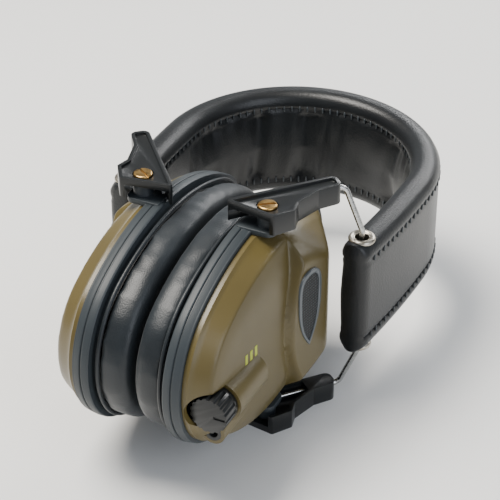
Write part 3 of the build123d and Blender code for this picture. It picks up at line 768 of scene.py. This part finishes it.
def buildBand():
    b = bandSizes
    verts, faces = [], []
    for i in range(b["along"] + 1):
        for j in range(b["around"]):
            verts.append(bandSurface(bandLength * i / b["along"], j / b["around"]))
    n = b["around"]
    for i in range(b["along"]):
        for j in range(n):
            faces.append((i * n + j, i * n + (j + 1) % n, (i + 1) * n + (j + 1) % n, (i + 1) * n + j))
    faces.append(tuple(range(n)))
    faces.append(tuple(reversed(range(b["along"] * n, (b["along"] + 1) * n))))
    mesh = bpy.data.meshes.new("headbandCover")
    mesh.from_pydata(verts, [], faces)
    cover = bpy.data.objects.new("headbandCover", mesh)
    bpy.context.scene.collection.objects.link(cover)
    cleanUp(cover, 0.000001)
    for x in (-hingeX, hingeX):
        for end in (-1, 1):
            clearSelection()
            bpy.ops.mesh.primitive_cylinder_add(vertices=40, radius=b["eyeHole"], depth=12 * mm,
                                                location=(x, hingeY, midZ + end * bandHalf))
            cutWith(cover, freeze(bpy.context.object))
    smooth(cover, 55)
    clearSelection()
    bpy.ops.mesh.primitive_uv_sphere_add(segments=8, ring_count=6, radius=b["stitchRadius"])
    seed = bpy.context.object
    capsule = [v.co.copy() for v in seed.data.vertices]
    rings = [tuple(p.vertices) for p in seed.data.polygons]
    bpy.data.objects.remove(seed, do_unlink=True)
    stitchVerts, stitchFaces = [], []
    count = int((bandLength - 12 * mm) / b["stitchPitch"])
    for k in range(count):
        s = 6 * mm + (bandLength - 12 * mm) * k / (count - 1)
        place, out = bandPoint(s)
        along = Vector((-out.y, out.x, 0))
        for edge in (-1, 1):
            for face in (-1, 1):
                across = edge * (bandHalf - b["binding"] + 0.2 * mm)
                middle = place + out * face * (b["thickness"] / 2 + 0.1 * mm) + Vector((0, 0, across))
                base = len(stitchVerts)
                for c in capsule:
                    reach = 0
                    if abs(c.z) > 1e-9:
                        reach = math.copysign(b["stitchLength"] / 2 - b["stitchRadius"], c.z)
                    stitchVerts.append(middle + along * c.x + out * c.y + Vector((0, 0, c.z + reach)))
                stitchFaces += [tuple(base + q for q in ring) for ring in rings]
    mesh = bpy.data.meshes.new("headbandStitching")
    mesh.from_pydata(stitchVerts, [], stitchFaces)
    stitching = bpy.data.objects.new("headbandStitching", mesh)
    bpy.context.scene.collection.objects.link(stitching)
    cleanUp(stitching, 0.0000001)
    smooth(stitching, 60)
    reach = hingeX - 8 * mm
    for obj, material in ((cover, bandVinyl), (stitching, sewingThread)):
        dress(obj, material, "vinyl")
        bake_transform(obj)
    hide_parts("left_band_sleeve", "right_band_sleeve")
    print("headband covered")


# ---- plain printed bars on the left cup ----
def buildMarks():
    for k, (up, long) in enumerate(((-31.0, 7.0), (-28.0, 7.0), (-25.0, 4.6))):
        clearSelection()
        side = (3.0 + (7.0 - long) / 2) * mm
        y = up * mm
        height = shellHeight(y, side)
        bpy.ops.mesh.primitive_cube_add(size=1,
                                        location=(plateFace + height - 0.02 * mm, pivotY + y, midZ + side),
                                        scale=(0.12 * mm, 1.4 * mm, long * mm),
                                        rotation=(0, 0, -math.atan2(shellSizes["faceSlope"], 1)))
        bar = freeze(bpy.context.object)
        bar.name = f"printedBar{k + 1}"
        dress(bar, markInk, "olive_plastic", "left_cup")
    print("bars printed")


buildShells()
refineFrame()
buildRings()
buildCushions()
buildBand()
buildMarks()


# ---- floor, light and camera ----
def area(name, place, target, size, power, colour):
    data = bpy.data.lights.new(name, "AREA")
    data.shape, data.size, data.size_y = "RECTANGLE", size[0], size[1]
    data.energy, data.color = power, srgb(colour)[:3]
    lamp = bpy.data.objects.new(name, data)
    bpy.context.scene.collection.objects.link(lamp)
    lamp.location = place
    lamp.rotation_euler = (Vector(target) - Vector(place)).to_track_quat("-Z", "Y").to_euler()
    return lamp


clearSelection()
bpy.ops.mesh.primitive_plane_add(size=8, location=(0, 0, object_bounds()[0].z))
floor = bpy.context.object
floor.name = "floor"
floorMaterial, floorShader = newMaterial("paleFloor")
floorShader.inputs["Base Color"].default_value = srgb("e4e4e2")
floorShader.inputs["Roughness"].default_value = 0.75
floor.data.materials.append(floorMaterial)
floor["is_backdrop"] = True

world = bpy.data.worlds.new("softRoom")
bpy.context.scene.world = world
world.use_nodes = True
world.node_tree.nodes["Background"].inputs[0].default_value = srgb("e6eaf0")
world.node_tree.nodes["Background"].inputs[1].default_value = 0.42
focus = (0, 0, 0.04)
area("keySoftbox", (-0.3, -0.1, 0.75), focus, (0.4, 0.4), 14.0, "fffaf2")
area("fillSoftbox", (0.7, -0.35, 0.45), focus, (0.5, 0.7), 4.0, "eef4ff")
area("rimStrip", (0.1, 0.75, 0.45), focus, (0.7, 0.15), 5.0, "ffffff")

cameraData = bpy.data.cameras.new("camera")
camera = bpy.data.objects.new("camera", cameraData)
bpy.context.scene.collection.objects.link(camera)
azimuth, elevation, distance = radians(26), radians(33), 0.62
back = Vector((sin(azimuth) * cos(elevation), -cos(azimuth) * cos(elevation), sin(elevation)))
low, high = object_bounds()
aim = (low + high) / 2
camera.location = aim + back * distance
camera.rotation_euler = (-back).to_track_quat("-Z", "Y").to_euler()
cameraData.lens = 125
bpy.context.scene.camera = camera

print("stage set")
